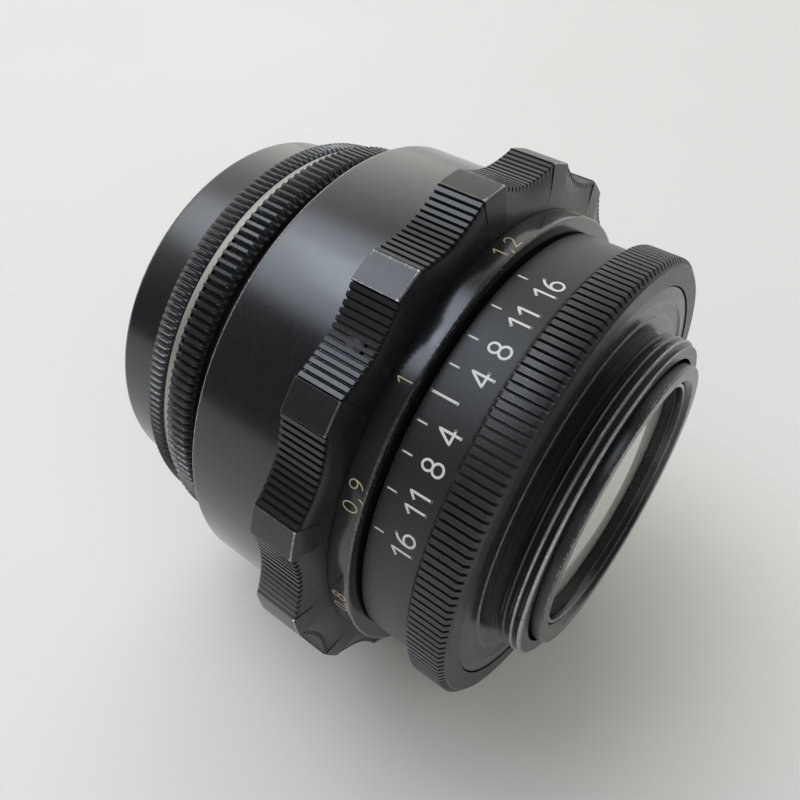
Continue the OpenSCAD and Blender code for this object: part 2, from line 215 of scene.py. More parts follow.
def bare_metal(name, base, rough, marks=1.0):
    """Turned or ground bare metal."""
    n = Nodes(name)
    streak = n.noise(1.0, 3, n.turned())
    n.link(n.mix(n.ramp(streak, [(0.3, 0.0), (0.7, 1.0)]), base, tuple(c * 0.75 for c in base)),
           n.bsdf.inputs["Base Color"])
    n.bsdf.inputs["Metallic"].default_value = 1.0
    n.link(n.math("ADD", n.math("MULTIPLY", n.noise(300, 3), 0.2), rough - 0.1), n.bsdf.inputs["Roughness"])
    n.bump(n.math("MULTIPLY", streak, marks), 0.3, 0.00002)
    return n.mat


def worn_thread(name):
    """Black thread whose crests are rubbed bright."""
    n = Nodes(name)
    edge = n.add("ShaderNodeAttribute", attribute_name="edge").outputs["Fac"]
    rub = n.ramp(n.noise(110, 4), [(0.30, 0.0), (0.58, 1.0)])
    bright = n.math("MULTIPLY", n.ramp(edge, [(0.55, 0.0), (0.95, 1.0)]), rub)
    n.link(n.mix(bright, (0.016, 0.016, 0.018), (0.62, 0.62, 0.64)), n.bsdf.inputs["Base Color"])
    n.link(bright, n.bsdf.inputs["Metallic"])
    n.link(n.math("ADD", n.math("MULTIPLY", n.noise(500, 2), 0.15), 0.22), n.bsdf.inputs["Roughness"])
    n.bsdf.inputs["Specular IOR Level"].default_value = 0.6
    n.bump(n.noise(1800, 3), 0.2, 0.00002)
    return n.mat


def paint_fill(name, colour):
    """Matt paint rubbed into an engraved stroke."""
    n = Nodes(name)
    fade = n.ramp(n.noise(900, 4), [(0.30, 0.0), (0.62, 1.0)])
    n.link(n.mix(fade, tuple(c * 0.62 for c in colour), colour), n.bsdf.inputs["Base Color"])
    n.link(n.math("ADD", n.math("MULTIPLY", n.noise(700, 2), 0.2), 0.45), n.bsdf.inputs["Roughness"])
    n.bump(n.noise(2500, 2), 0.3, 0.00002)
    return n.mat


def coated_glass(name, tint, clear):
    """Coated glass with a film of haze; clear is the share of light that passes through, and the rest shows
    the tint as a flat colour, painted light for what is seen through the glass.
    """
    n = Nodes(name)
    haze = n.ramp(n.noise(35, 3), [(0.35, 0.0), (0.75, 1.0)])
    n.link(n.mix(haze, tint, tuple(min(1.0, c * 1.04) for c in tint)), n.bsdf.inputs["Base Color"])
    n.link(n.math("ADD", n.math("MULTIPLY", haze, 0.03), 0.015), n.bsdf.inputs["Roughness"])
    n.bsdf.inputs["Transmission Weight"].default_value = clear
    n.bsdf.inputs["IOR"].default_value = 1.62
    n.bsdf.inputs["Specular Tint"].default_value = (0.86, 0.90, 1.0, 1)
    n.bump(n.noise(400, 2), 0.02, 0.00001)
    return n.mat


MAT = {
    "gloss": black_metal("black_gloss", (0.0055, 0.006, 0.0072),
                         0.20, marks=0.1, wear=0.5, dust=0.9, coat=0.3),
    "scale": black_metal("black_scale", (0.005, 0.0055, 0.0068), 0.15, marks=0.05, dust=0.4, coat=0.4),
    "grip": black_metal("black_grip", (0.007, 0.0075, 0.008),
                        0.30, marks=0.1, wear=1.0, dust=1.0, grain=0.12),
    "fixed": black_metal("black_fixed", (0.009, 0.009, 0.0092),
                         0.33, marks=1.8, wear=0.15, dust=0.3, grain=0.9),
    "mount": black_metal("black_mount", (0.009, 0.009, 0.0095),
                         0.36, marks=0.1, wear=0.1, dust=0.8, grain=0.4),
    "knurl": black_metal("black_knurl", (0.007, 0.0075, 0.0088), 0.30, marks=0.1, wear=0.2, dust=0.9),
    "matt": black_metal("black_matt", (0.011, 0.011, 0.012), 0.52, marks=0.6, dust=0.3),
    "flange": black_metal("black_flange", (0.012, 0.012, 0.013), 0.24, marks=1.2, wear=0.2, dust=0.5),
    "alloy": bare_metal("bare_alloy", (0.58, 0.58, 0.60), 0.35),
    "strip": bare_metal("pale_strip", (0.40, 0.39, 0.36), 0.42),
    "dark": bare_metal("dark_alloy", (0.07, 0.07, 0.075), 0.45),
    "brass": bare_metal("helicoid_brass", (0.66, 0.48, 0.22), 0.35),
    "steel": bare_metal("screw_steel", (0.07, 0.07, 0.075), 0.3, 0.4),
    # Near-black disc material: painted shade inside the set screw holes, which are not cut
    "hole": black_metal("hole_painted_shade", (0.003, 0.003, 0.003), 0.6),
    "blade": bare_metal("blade_steel", (0.05, 0.05, 0.055), 0.55, 0.4),
    "thread": worn_thread("worn_thread"),
    "gold": paint_fill("gold_fill", (0.74, 0.62, 0.36)),
    "white": paint_fill("white_fill", (0.80, 0.80, 0.77)),
    "glass": coated_glass("coated_glass", (0.93, 0.94, 0.93), 0.94),
    # Rear glass: a pale beige tint that lets almost nothing through, painted light of the bright table seen
    # through the lens
    "rear_glass": coated_glass("rear_glass_painted_light", (0.62, 0.61, 0.55), 0.05),
}


# ---------------------------------------------------------------- mesh builders

def finish_mesh(name, verts, faces, edge, mat, body, nodes=(), sharp=35):
    """A mesh object from millimetre points that rides on a body."""
    mesh = bpy.data.meshes.new(name)
    mesh.from_pydata([(x * MM, y * MM, z * MM) for x, y, z in verts], [], faces)
    layer = mesh.attributes.new("edge", "FLOAT", "POINT")
    layer.data.foreach_set("value", edge)
    clean = bmesh.new()
    clean.from_mesh(mesh)
    bmesh.ops.recalc_face_normals(clean, faces=clean.faces)
    clean.to_mesh(mesh)
    clean.free()
    mesh.shade_smooth()
    mesh.set_sharp_from_angle(angle=math.radians(sharp))
    mesh.materials.append(MAT[mat])
    piece = bpy.data.objects.new(name, mesh)
    bpy.context.scene.collection.objects.link(piece)
    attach(piece, body)
    if nodes:
        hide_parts(*nodes)
    return piece


def rounded(points, radius=0.15, support=0.3, steps=3):
    """A closed outline of (radius, place) with its corners rounded.

    Each point comes back with 1 on a rounded corner and 0 away from it.
    """
    out = []
    count = len(points)
    for i, point in enumerate(points):
        r, y = point[:2]
        size = point[2] if len(point) > 2 else radius
        here = Vector((r, y))
        before = Vector(points[i - 1][:2]) - here
        after = Vector(points[(i + 1) % count][:2]) - here
        size = min(size, before.length * 0.4, after.length * 0.4)
        far = min(size + support, before.length * 0.48)
        out.append((here + before.normalized() * far, 0.0))
        for k in range(steps + 1):
            t = k / steps
            a = here + before.normalized() * size * (1 - t)
            b = here + after.normalized() * size * t
            out.append((a * (1 - t) + b * t, 1.0))
        far = min(size + support, after.length * 0.48)
        out.append((here + after.normalized() * far, 0.0))
    return out


def lathe(name, points, mat, body, nodes=(), turns=360, radius=0.15, sharp=35):
    """A ring turned from a closed outline."""
    outline = rounded(points, radius)
    count = len(outline)
    verts = []
    faces = []
    edge = []
    for i in range(turns):
        c, s = math.cos(TAU * i / turns), math.sin(TAU * i / turns)
        for point, mark in outline:
            verts.append((point[0] * c, point[1], point[0] * s))
            edge.append(mark)
    for i in range(turns):
        a, b = i * count, (i + 1) % turns * count
        for j in range(count):
            k = (j + 1) % count
            faces.append((a + j, a + k, b + k, b + j))
    return finish_mesh(name, verts, faces, edge, mat, body, nodes, sharp)


def shaped_ring(name, angles, rows, inner, mat, body, nodes=(), sharp=35):
    """A ring whose outer skin is rows of (place, radius function), closed by a plain bore.

    A radius function gives (radius, edge mark) at an angle.
    """
    verts = []
    edge = []
    faces = []
    first, last = rows[0][0], rows[-1][0]
    count = len(rows) + 2
    for angle in angles:
        c, s = math.cos(angle), math.sin(angle)
        verts.append((inner * c, first, inner * s))
        edge.append(0.0)
        for place, outline in rows:
            r, mark = outline(angle)
            verts.append((r * c, place, r * s))
            edge.append(mark)
        verts.append((inner * c, last, inner * s))
        edge.append(0.0)
    total = len(angles)
    for i in range(total):
        a, b = i * count, (i + 1) % total * count
        for j in range(count):
            k = (j + 1) % count
            faces.append((a + j, a + k, b + k, b + j))
    return finish_mesh(name, verts, faces, edge, mat, body, nodes, sharp)


def tooth_angles(teeth, phases):
    return [TAU * (i + p) / teeth for i in range(teeth) for p in phases]


def knurl(root, crest, teeth, flat, slope, lift=1.0):
    """Radius function of straight teeth: a flat crest, sloping flanks and a narrow groove."""
    def outline(angle):
        t = angle * teeth / TAU % 1.0
        gap = abs(t - 0.5) * 2
        level = min(1.0, max(0.0, (gap - (1 - flat - slope)) / slope)) if gap < 1 - flat else 1.0
        mark = 1.0 if 0.2 < level < 0.999 or level >= 0.999 and gap < 1 - flat + 0.16 else 0.35 * level
        return root + (crest - root) * level * lift, mark * (0.6 + 0.4 * lift)
    return outline


def plain(radius, mark=0.0):
    return lambda angle: (radius, mark)


# ---------------------------------------------------------------- outer rings

def make_bezel():
    """Front bezel with the filter thread cut as plain grooves."""
    y0, y1 = BEZEL_Y0, BEZEL_Y1
    inside = 24.1  # crest of the filter thread
    points = [
        (22.95, y0 - 3.6), (24.0, y0 - 3.6), (24.0, y0 + 0.05), (BEZEL_WIDE_R, y0 + 0.05),
        (BEZEL_WIDE_R, y0 + 0.75), (BEZEL_R, y0 + 1.3), (BEZEL_R, y1 - 0.02, 0.3),
        (inside + 0.5, y1 - 0.02), (inside + 0.35, y1 - 0.35)
    ]
    pitch = 0.75
    place = y1 - 0.5
    while place > y0 + 2.4:
        points.append((inside + 0.38, place, 0.05))
        points.append((inside + 0.02, place - pitch / 2, 0.05))
        place -= pitch
    points.append((inside + 0.3, place, 0.05))
    points.append((22.95, y0 - 0.3))
    lathe("front_bezel_shell", points, "gloss", "lens_head", ("front_bezel",))


def make_front_name_ring():
    """Blank ring round the front glass, with fine baffle grooves."""
    y0, y1 = NAME_Y0, NAME_Y1
    inner, outer = FRONT_R - 0.6, NAME_R - 0.02
    points = [(inner, y0 + 0.05), (FRONT_R - 0.05, y0 + 0.05), (FRONT_R - 0.05, y0 + 2.7), (22.9, y0 + 2.7),
              (22.9, BEZEL_Y0 - 0.1), (outer, BEZEL_Y0 + 1.85), (outer, y1 - 0.02)]
    grooves = 12
    low = y0 + 3.6
    for i in range(1, grooves):
        t = i / grooves
        r = outer + (inner - outer) * t
        y = y1 + (low - y1) * t
        points.append((r + 0.10, y + 0.02, 0.03))
        points.append((r - 0.04, y - 0.14, 0.03))
    points.append((inner, low - 0.02))
    lathe("front_name_ring", points, "matt", "lens_head", ("front_retaining_ring",))


def make_preset_ring():
    teeth = 196
    crest, root = PRESET_R - 0.03, PRESET_R - 0.5
    phases = [0.0, 0.12, 0.25, 0.38, 0.5, 0.62, 0.75, 0.88]
    y0, y1 = PRESET_Y0 + 0.02, PRESET_Y1 - 0.02

    def teeth_at(lift):
        return knurl(root, crest, teeth, 0.18, 0.62, lift)

    rows = [(y0, plain(root - 0.25)), (y0 + 0.05, teeth_at(0.05)), (y0 + 0.28, teeth_at(0.62)),
            (y0 + 0.62, teeth_at(0.94)), (y0 + 1.1, teeth_at(1.0)), (y1 - 1.1, teeth_at(1.0)),
            (y1 - 0.62, teeth_at(0.94)), (y1 - 0.28, teeth_at(0.62)), (y1 - 0.05, teeth_at(0.05)),
            (y1, plain(root - 0.25))]
    shaped_ring("preset_knurl_ring", tooth_angles(teeth, phases), rows, HEAD_R + 0.05,
                "knurl", "preset_body", ("preset_ring",), 50)


def make_aperture_ring():
    teeth = 164
    crest, root = CONTROL_R - 0.02, CONTROL_R - 0.95
    base = CONTROL_R - 1.6
    phases = [0.0, 0.16, 0.30, 0.42, 0.5, 0.58, 0.70, 0.84]
    y0 = CONTROL_Y0 + 3.1
    y1 = CONTROL_Y1 - 1.4

    def teeth_at(lift):
        return knurl(root, crest, teeth, 0.32, 0.55, lift)

    rows = [(CONTROL_Y0 + 0.02, plain(base - 0.12, 1.0)), (CONTROL_Y0 + 0.14, plain(base - 0.02, 1.0)),
            (CONTROL_Y0 + 0.4, plain(base - 0.02)), (y0 - 0.05, plain(base - 0.02)),
            (y0 + 0.02, teeth_at(0.02)), (y0 + 0.5, teeth_at(0.97)), (y0 + 0.6, teeth_at(1.0)),
            (y1 - 0.3, teeth_at(1.0)), (y1 - 0.1, teeth_at(0.7)), (y1, plain(base + 0.5)),
            (y1 + 0.1, plain(base + 0.45)), (CONTROL_Y1 - 0.3, plain(base - 0.05)),
            (CONTROL_Y1 - 0.12, plain(base - 0.16)),
            (CONTROL_Y1 - 0.02, plain(base - 0.3))]
    shaped_ring("aperture_knurl_ring", tooth_angles(teeth, phases), rows, HEAD_R + 0.05,
                "knurl", "aperture_body", ("aperture_ring",), 50)
    strip = [(base - 0.4, y1 + 0.12), (base + 0.95, y1 + 0.12, 0.05), (base + 0.7, CONTROL_Y1 - 0.12, 0.05),
             (base - 0.4, CONTROL_Y1 - 0.12)]
    lathe("aperture_pale_strip", strip, "strip", "aperture_body", ("aperture_ring",))


def make_sleeve():
    y0, y1 = SLEEVE_Y0 + 0.02, SLEEVE_Y1 - 0.02
    r = SLEEVE_R - 0.02
    inner = SLEEVE_R - 1.8
    points = [(inner, y0), (r, y0), (r, y1, 0.22), (HEAD_R + 0.04, y1), (HEAD_R + 0.04, y1 - 1.15),
              (inner, y1 - 1.15)]
    lathe("barrel_sleeve_shell", points, "gloss", "lens_head", ("barrel_sleeve",), turns=480)


def make_fixed_ring():
    y0, y1 = FIXED_Y0 + 0.02, FIXED_Y1 - 0.02
    r = FIXED_R - 0.02
    points = [(SKIRT_IN, y0), (r, y0, 0.1), (r, y1, 0.2), (SKIRT_IN, y1)]
    lathe("fixed_ring_shell", points, "fixed", "mount_body", ("fixed_scale_ring",), turns=480)


def make_scale_ring():
    y0 = SCALE_Y0 + 0.02
    r = SCALE_R - 0.03
    skirt = SCALE_R - 0.7
    points = [(SKIRT_IN + 0.1, y0), (r, y0, 0.25), (r, GRIP_Y0 - 0.02, 0.05), (skirt, GRIP_Y0 - 0.02),
              (skirt, 19.3), (SKIRT_IN + 0.1, 19.3)]
    lathe("distance_scale_shell", points, "scale", "focus_body", ("distance_scale_ring",),
          turns=480)


def make_mount_ring():
    """Mount ring with broad flat teeth and chamfered tooth ends."""
    teeth = 188
    crest, root = MOUNT_R - 0.02, MOUNT_R - 0.6
    phases = [0.0, 0.2, 0.27, 0.31, 0.36, 0.42, 0.5, 0.58, 0.64, 0.69, 0.73, 0.8]
    y0, y1 = MOUNT_Y0 + 0.02, MOUNT_Y1 - 0.02

    def teeth_at(lift):
        return knurl(root, crest, teeth, 0.62, 0.10, lift)

    rows = [(y0, plain(root - 0.25, 0.6)), (y0 + 0.16, plain(root - 0.06, 0.3)), (y0 + 0.2, teeth_at(0.02)),
            (y0 + 0.62, teeth_at(0.92)), (y0 + 0.75, teeth_at(1.0)), (y1 - 0.75, teeth_at(1.0)),
            (y1 - 0.62, teeth_at(0.92)), (y1 - 0.2, teeth_at(0.02)), (y1 - 0.16, plain(root - 0.06, 0.3)),
            (y1, plain(root - 0.3, 0.3))]
    shaped_ring("mount_knurl_ring", tooth_angles(teeth, phases), rows, FLANGE_R + 0.12,
                "mount", "mount_body", ("mount_grip_ring",), 30)


def make_grip_ring():
    """Focusing ring: smooth lands with worn corners, and hollows cut with fine flat-topped teeth."""
    pitch = TAU / LANDS
    half_land = pitch * LAND_SHARE / 2
    teeth = 13
    depth = 1.4
    cut = 0.5
    top = GRIP_R - 0.04
    phases = (0.0, 0.12, 0.22, 0.27, 0.5, 0.73, 0.78, 0.88)

    def place(angle):
        """Distance from the nearest land's edge as a share of the half hollow, or None on a land."""
        t = (angle - math.pi / 2) / pitch % 1.0
        near = min(t, 1 - t) * pitch
        return None if near <= half_land + 1e-7 else (near - half_land) / (pitch / 2 - half_land)

    def tooth(angle):
        """Height of the tooth, from 0 in a groove to 1 on its flat top, and its edge mark."""
        t = (angle - math.pi / 2) / pitch % 1.0
        run = (t - LAND_SHARE / 2) / (1 - LAND_SHARE) * teeth % 1.0
        near = min(run, 1 - run)
        level = min(1.0, max(0.0, (near - 0.12) / 0.1))
        return level, 1.0 if 0.18 < near < 0.25 else 0.0

    def surface(inset, rim):
        def outline(angle):
            across = place(angle)
            if across is None:
                t = (angle - math.pi / 2) / pitch % 1.0
                side = min(t, 1 - t) * pitch / half_land > 0.88
                return top - inset, max(0.85 if side else 0.0, rim + (0.15 if side and rim else 0.0))
            level, mark = tooth(angle)
            fall = depth * math.sin(across * math.pi / 2) ** 0.9
            return top - inset - fall - 0.1 - cut * (1 - level), max(0.72 * mark, 0.72 * rim * level)
        return outline

    def bevel(t):
        """Slope between the scale ring and the rear edge of the lands and hollows."""
        def outline(angle):
            across = place(angle)
            fall = 0.0 if across is None else depth * math.sin(across * math.pi / 2) ** 0.9 + 0.1 + cut
            return flank + (top - 0.1 - fall - flank) * t, 0.0
        return outline

    angles = []
    for i in range(LANDS):
        middle = math.pi / 2 + i * pitch
        angles.extend(middle + half_land * c for c in (-1, -0.94, -0.88, -0.5, 0, 0.5, 0.88, 0.94, 1))
        start = middle + half_land
        width = (pitch - 2 * half_land) / teeth
        angles.extend(start + (k + p) * width + 1e-5 for k in range(teeth) for p in phases)
    y0, y1 = GRIP_Y0 + 0.02, GRIP_Y1 - 0.02
    flank = SCALE_R + 0.05
    rows = [(y0, plain(flank)), (y0 + 0.3, bevel(0.5)), (y0 + 0.75, bevel(0.97)), (y0 + 0.8, bevel(1.0)),
            (y0 + 0.82, surface(0.1, 1.0)), (y0 + 0.95, surface(0.0, 1.0)), (y0 + 1.1, surface(0.0, 0.0)),
            (y1 - 0.4, surface(0.0, 0.0)), (y1 - 0.16, surface(0.0, 0.8)), (y1 - 0.02, surface(0.12, 0.8)),
            (y1, surface(0.4, 0.0))]
    shaped_ring("focus_grip_shell", angles, rows, SCALE_R - 0.65, "grip", "focus_body",
                ("focus_grip_ring",), 30)


def disc(verts, faces, centre, out, side, front, radius, depth, steps=24):
    """A short round plug pointing out along a direction."""
    first = len(verts)
    for level in (0.0, -depth):
        for k in range(steps):
            a = TAU * k / steps
            point = centre + out * level + side * radius * math.cos(a) + front * radius * math.sin(a)
            verts.append(tuple(point))
    faces.append(tuple(range(first, first + steps)))
    for k in range(steps):
        j = (k + 1) % steps
        faces.append((first + k, first + j, first + steps + j, first + steps + k))


def make_grip_screws():
    """Slotted set screws, each on a flat near-black disc, painted shade of its hole, in the middle of a
    hollow.
    """
    middle = (GRIP_Y0 + GRIP_Y1) / 2
    front = Vector((0, 1, 0))
    hole_r, screw_r, rim_points = 1.05, 0.74, 15
    parts = {"focus_screw_holes": ("hole", ()), "focus_screw_heads": ("steel", ("focus_set_screws",))}
    for name, (mat, nodes) in parts.items():
        verts, faces = [], []
        for k in range(3):
            angle = math.pi / 2 + TAU / LANDS * 1.5 + TAU * k / 3
            out = Vector((math.cos(angle), 0, math.sin(angle)))
            side = out.cross(front)
            base = out * (GRIP_R - 1.5) + front * middle
            # The hole is a flat near-black disc, painted shade in place of a cut recess
            if mat == "hole":
                disc(verts, faces, base - out * 0.10, out, side, front, hole_r, 0.5)
                continue
            across = (side * 0.8 + front * 0.6).normalized()
            along = out.cross(across)
            for sign in (-1, 1):
                first = len(verts)
                rim = [math.radians(12 + 156 * i / (rim_points - 1)) for i in range(rim_points)]
                for level in (0.0, -0.4):
                    for a in rim:
                        verts.append(tuple(base - out * (0.04 - level) + along * screw_r * math.cos(a)
                                           + across * sign * screw_r * math.sin(a)))
                faces.append(tuple(range(first, first + rim_points)))
                low = first + rim_points
                for j in range(rim_points):
                    after = (j + 1) % rim_points
                    faces.append((first + j, first + after, low + after, low + j))
        finish_mesh(name, verts, faces, [0.0] * len(verts), mat, "focus_body", nodes, 40)


def make_mount_thread():
    """Seating flange with its step and neck, and a true single-start helical thread."""
    bore = THREAD_BORE
    points = [(bore, 0.0), (bore, FLANGE_Y1), (FLANGE_R - 0.02, FLANGE_Y1), (FLANGE_R - 0.02, 0.14, 0.1),
              (24.3, 0.02, 0.1), (24.1, 0.24, 0.1), (22.6, 0.24, 0.1), (22.4, 0.08, 0.1), (20.3, 0.08)]
    lathe("mount_flange_plate", points, "flange", "mount_body", ("mount_thread_ring",),
          turns=480)
    pitch = 1.0
    turns = 240
    steps = 10
    crest, root = THREAD_R - 0.02, THREAD_R - 0.62
    y_end = THREAD_Y0 + 0.03
    y_neck = -1.15
    rows = int((y_neck - y_end) / pitch * steps) + 1

    def outline(place, angle):
        phase = (place / pitch - angle / TAU) % 1.0
        level = 1 - abs(phase * 2 - 1)
        level = min(1.0, max(0.0, (level - 0.10) / 0.78))
        fade = min(1.0, (place - y_end) / 0.4 + 0.3)
        worn = level * min(1.0, max(0.35, (y_neck - place) / 1.6))
        return root + (crest - root) * level * fade, worn

    verts, edge, faces = [], [], []
    places = [y_end + (y_neck - y_end) * k / (rows - 1) for k in range(rows)]
    count = rows + 4
    for i in range(turns):
        angle = TAU * i / turns
        c, s = math.cos(angle), math.sin(angle)
        column = [(bore + 0.02, y_end, 0.0)]
        for place in places:
            r, mark = outline(place, angle)
            column.append((r, place, mark))
        column += [(20.3, y_neck + 0.1, 0.0), (20.3, 0.05, 0.0), (bore + 0.02, 0.05, 0.0)]
        for r, y, mark in column:
            verts.append((r * c, y, r * s))
            edge.append(mark)
    for i in range(turns):
        a, b = i * count, (i + 1) % turns * count
        for j in range(count):
            k = (j + 1) % count
            faces.append((a + j, a + k, b + k, b + j))
    finish_mesh("mount_screw_thread", verts, faces, edge, "thread", "mount_body", (), 60)


def make_rear_barrel():
    """Rear barrel: rim, recess and the step that holds the glass."""
    y0, y1 = REAR_Y0 + 0.02, REAR_Y1 - 0.05
    g = GLASS_R
    points = [(g + 0.06, y0 + 0.6, 0.05), (g + 0.6, y0 + 0.02, 0.08), (REAR_R, y0 + 0.02, 0.2),
              (REAR_R, 19.3), (20.4, 19.3), (20.4, y1), (13.6, y1), (13.6, 7.4), (g + 0.06, 7.4)]
    lathe("rear_barrel_shell", points, "flange", "lens_head", ("rear_barrel",), turns=360)


def make_rear_retainer():
    """Thin ring that holds the rear glass."""
    y0, y1, r = ring("rear_retaining_ring")
    inner = r - 0.75
    points = [(inner + 0.2, y0 + 0.1, 0.06), (r - 0.1, y0 + 0.1, 0.06), (r - 0.02, y1 - 0.02),
              (inner, y1 - 0.02)]
    lathe("rear_retainer_shell", points, "gloss", "lens_head", ("rear_retaining_ring",))


def make_glass(name, node, rear_bulge, front_bulge, mat):
    """Glass between two spherical faces, finer than the solid it stands for."""
    y0, y1, r = ring(node)
    low = y0 + max(0.0, rear_bulge)
    high = y1 - max(0.0, front_bulge)
    rings, turns = 24, 128

    def sag(x, bulge):
        s = (r * r + bulge * bulge) / (2 * abs(bulge))
        return math.copysign(math.sqrt(s * s - x * x) - math.sqrt(s * s - r * r), bulge)

    profile = [(r * k / rings, low - sag(r * k / rings, rear_bulge)) for k in range(1, rings + 1)]
    profile += [(r * k / rings, high + sag(r * k / rings, front_bulge)) for k in range(rings, 0, -1)]
    verts = [(0, low - rear_bulge, 0), (0, high + front_bulge, 0)]
    count = len(profile)
    faces = []
    for i in range(turns):
        c, s = math.cos(TAU * i / turns), math.sin(TAU * i / turns)
        verts.extend((q * 0.999 * c, y, q * 0.999 * s) for q, y in profile)
    for i in range(turns):
        a, b = 2 + i * count, 2 + (i + 1) % turns * count
        faces.append((0, a, b))
        for j in range(count - 1):
            faces.append((a + j, a + j + 1, b + j + 1, b + j))
        faces.append((a + count - 1, 1, b + count - 1))
    finish_mesh(name, verts, faces, [0.0] * len(verts), mat, "lens_head", (node,), 40)


# ---------------------------------------------------------------- engraved strokes

def arc(cx, cy, rx, ry, start, end, steps=12):
    angles = [math.radians(start + (end - start) * i / steps) for i in range(steps + 1)]
    return [(cx + rx * math.cos(a), cy + ry * math.sin(a)) for a in angles]


GLYPHS = {
    "0": (0.62, [arc(0.31, 0.5, 0.27, 0.46, 90, 450, 22)]),
    "1": (0.40, [[(0.08, 0.74), (0.30, 0.96), (0.30, 0.04)]]),
    "2": (0.62, [arc(0.31, 0.70, 0.25, 0.26, 165, -35, 12) + [(0.06, 0.04), (0.58, 0.04)]]),
    "8": (0.62, [arc(0.31, 0.73, 0.21, 0.23, 90, 450, 16), arc(0.31, 0.27, 0.26, 0.24, 90, 450, 16)]),
    "9": (0.62, [arc(0.32, 0.70, 0.25, 0.26, 0, 360, 16), arc(0.10, 0.62, 0.47, 0.58, 0, -70, 9)]),
    "4": (0.64, [[(0.46, 0.04), (0.46, 0.96), (0.06, 0.32), (0.60, 0.32)]]),
    "5": (0.60, [[(0.52, 0.96), (0.14, 0.96), (0.10, 0.54)] + arc(0.29, 0.34, 0.26, 0.29, 115, -140, 12)]),
    "6": (0.62, [arc(0.30, 0.30, 0.25, 0.26, 0, 360, 16), arc(0.52, 0.38, 0.47, 0.58, 180, 110, 9)]),
    "7": (0.56, [[(0.06, 0.96), (0.52, 0.96), (0.20, 0.04)]]),
    "3": (0.60, [arc(0.28, 0.73, 0.22, 0.23, 150, -90, 10) + arc(0.28, 0.27, 0.26, 0.24, 90, -150, 12)[1:]]),
    ",": (0.26, [[(0.14, 0.10), (0.14, 0.02), (0.06, -0.14)]]),
    "|": (0.16, [[(0.08, 0.0), (0.08, 1.0)]]),
}


def text_strokes(text, height, gap=0.22):
    """Strokes of a string in millimetres, centred along its reading direction."""
    strokes = []
    along = 0.0
    for letter in text:
        width, parts = GLYPHS[letter]
        for part in parts:
            strokes.append([((x + along) * height, y * height) for x, y in part])
        along += width + gap
    middle = (along - gap) * height / 2
    return [[(x - middle, y) for x, y in stroke] for stroke in strokes]


def engrave(name, text, angle, place, height, radius, width, mat, body):
    """Paint-filled strokes lying in a cylinder, tops towards the front of the lens."""
    verts, faces = [], []
    cap_steps = 10
    for index, stroke in enumerate(text_strokes(text, height)):
        rise = 0.012 + 0.005 * index
        fine = []
        for (x0, y0), (x1, y1) in zip(stroke, stroke[1:]):
            parts = max(1, int(math.hypot(x1 - x0, y1 - y0) / 0.15))
            fine.extend((x0 + (x1 - x0) * k / parts, y0 + (y1 - y0) * k / parts) for k in range(parts))
        fine.append(stroke[-1])
        closed = math.hypot(fine[0][0] - fine[-1][0], fine[0][1] - fine[-1][1]) < 1e-6
        if closed:
            fine.pop()
        first = len(verts)
        total = len(fine)
        for i, (x, y) in enumerate(fine):
            ahead = fine[(i + 1) % total] if closed or i + 1 < total else fine[i]
            back = fine[i - 1] if closed or i else fine[i]
            dx, dy = ahead[0] - back[0], ahead[1] - back[1]
            size = math.hypot(dx, dy) or 1.0
            nx, ny = -dy / size, dx / size
            for u, lift in ((-1, -0.05), (-0.55, rise), (0.55, rise), (1, -0.05)):
                px, py = x + nx * u * width / 2, y + ny * u * width / 2
                turn = angle - px / radius
                r = radius + lift
                verts.append((r * math.cos(turn), place + py, r * math.sin(turn)))
        last = total if closed else total - 1
        for i in range(last):
            a, b = first + i * 4, first + (i + 1) % total * 4
            for j in range(3):
                faces.append((a + j, a + j + 1, b + j + 1, b + j))
            faces.append((a + 3, a, b, b + 3))
        if not closed:
            for i, outward in ((0, -1), (total - 1, 1)):
                base = first + i * 4
                x, y = fine[i]
                other = fine[1] if i == 0 else fine[-2]
                dx, dy = x - other[0], y - other[1]
                size = math.hypot(dx, dy) or 1.0
                dx, dy = dx / size, dy / size
                cap = []
                for k in range(1, cap_steps):
                    t = math.pi * k / cap_steps
                    along, across = math.sin(t), math.cos(t) * outward
                    px = x + (dx * along + dy * across) * width / 2
                    py = y + (dy * along - dx * across) * width / 2
                    turn = angle - px / radius
                    cap.append(len(verts))
                    verts.append(((radius + 0.004) * math.cos(turn), place + py,
                                  (radius + 0.004) * math.sin(turn)))
                faces.append((base + 3, *cap, base) if i else (base, *cap, base + 3))
    return finish_mesh(name, verts, faces, [0.0] * len(verts), mat, body, (), 60)


# Angle of the far mark at rest, the turn over the full focus travel, and the travel in
# millimetres at which each distance is in focus
INDEX_ANGLE = -61.9
FOCUS_TURN, FOCUS_TRAVEL = 349.0, 7.05
DEGREES_PER_MM = FOCUS_TURN / FOCUS_TRAVEL
DISTANCES = [("0,6", 7.05), ("0,7", 5.82), ("0,8", 4.95), ("0,9", 4.32), ("1", 3.82), ("1,2", 3.10),
             ("1,5", 2.45), ("2", 1.80), ("3", 1.15), ("5", 0.69)]


def make_numbers():
    """Gold distance numbers; the far mark is two small rings side by side."""
    for label, extension in DISTANCES:
        angle = math.radians(INDEX_ANGLE + extension * DEGREES_PER_MM)
        name = "distance_" + label.replace(",", "_")
        engrave(name, label, angle, SCALE_Y0 + 0.5, 1.9, SCALE_R - 0.03, 0.21, "gold",
                "focus_body")
    for i in range(2):
        angle = math.radians(INDEX_ANGLE) + (i - 0.5) * 0.031
        engrave(f"distance_far_{i}", "0", angle, SCALE_Y0 + 0.85, 1.0, SCALE_R - 0.03, 0.17, "gold",
                "focus_body")


